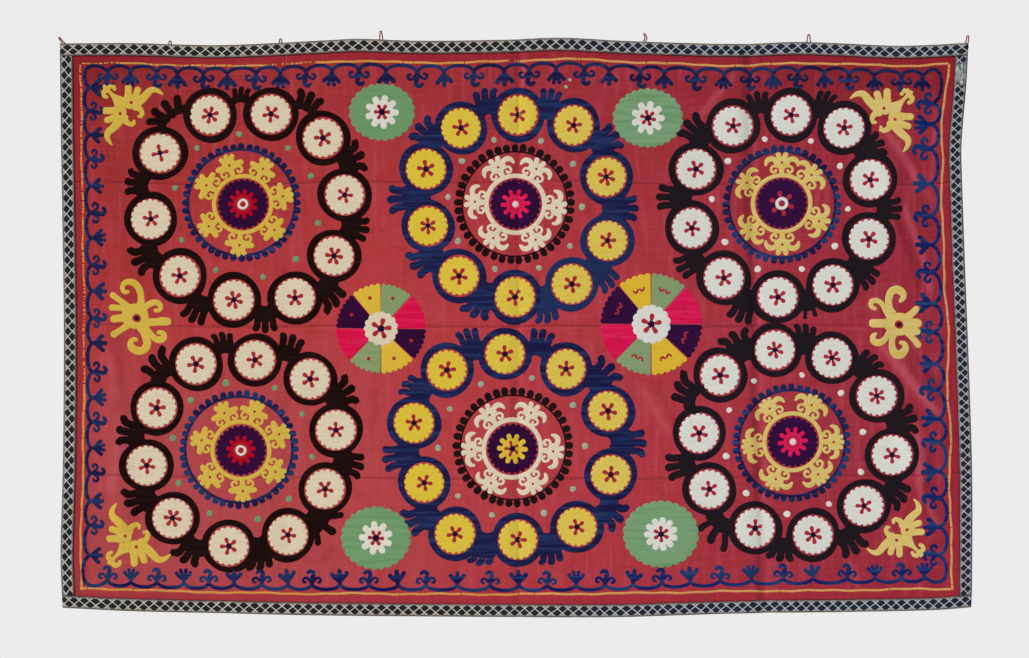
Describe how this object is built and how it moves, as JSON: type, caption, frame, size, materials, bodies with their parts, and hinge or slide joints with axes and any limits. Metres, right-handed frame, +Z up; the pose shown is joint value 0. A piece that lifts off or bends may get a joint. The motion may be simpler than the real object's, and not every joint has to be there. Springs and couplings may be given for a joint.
{
  "type": "suzani embroidered hanging",
  "caption": "Embroidered cotton hanging with round rosette medallions, pinwheels and a vine border, edged with lattice tape and held by small cord loops along its top edge.",
  "frame": {"origin": "middle of the top edge, on the middle surface of the cloth, where the hanging is held", "axes": "+X along the width, to the right as seen from the front; +Z up; the embroidered face looks toward -Y"},
  "size_m": [2.2859, 0.0237, 1.467],
  "materials": {
    "ground_cloth": "faded red cotton in plain weave, worked with silk thread in black, blue, cream, yellow, green, pink and purple",
    "woven_tape": "flat woven tape, near-black diamonds between crossing pale lines, grey-brown selvages",
    "loop_cord": "thin twisted cotton cord, faded red"
  },
  "bodies": {
    "root": {"panel_1": "ground_cloth", "panel_2": "ground_cloth", "panel_3": "ground_cloth", "panel_4": "ground_cloth", "tape_top": "woven_tape", "tape_bottom": "woven_tape", "tape_left": "woven_tape", "tape_right": "woven_tape", "loop_1": "loop_cord", "loop_2": "loop_cord", "loop_3": "loop_cord", "loop_4": "loop_cord", "loop_5": "loop_cord", "loop_6": "loop_cord", "loop_7": "loop_cord"}
  },
  "joints": []
}
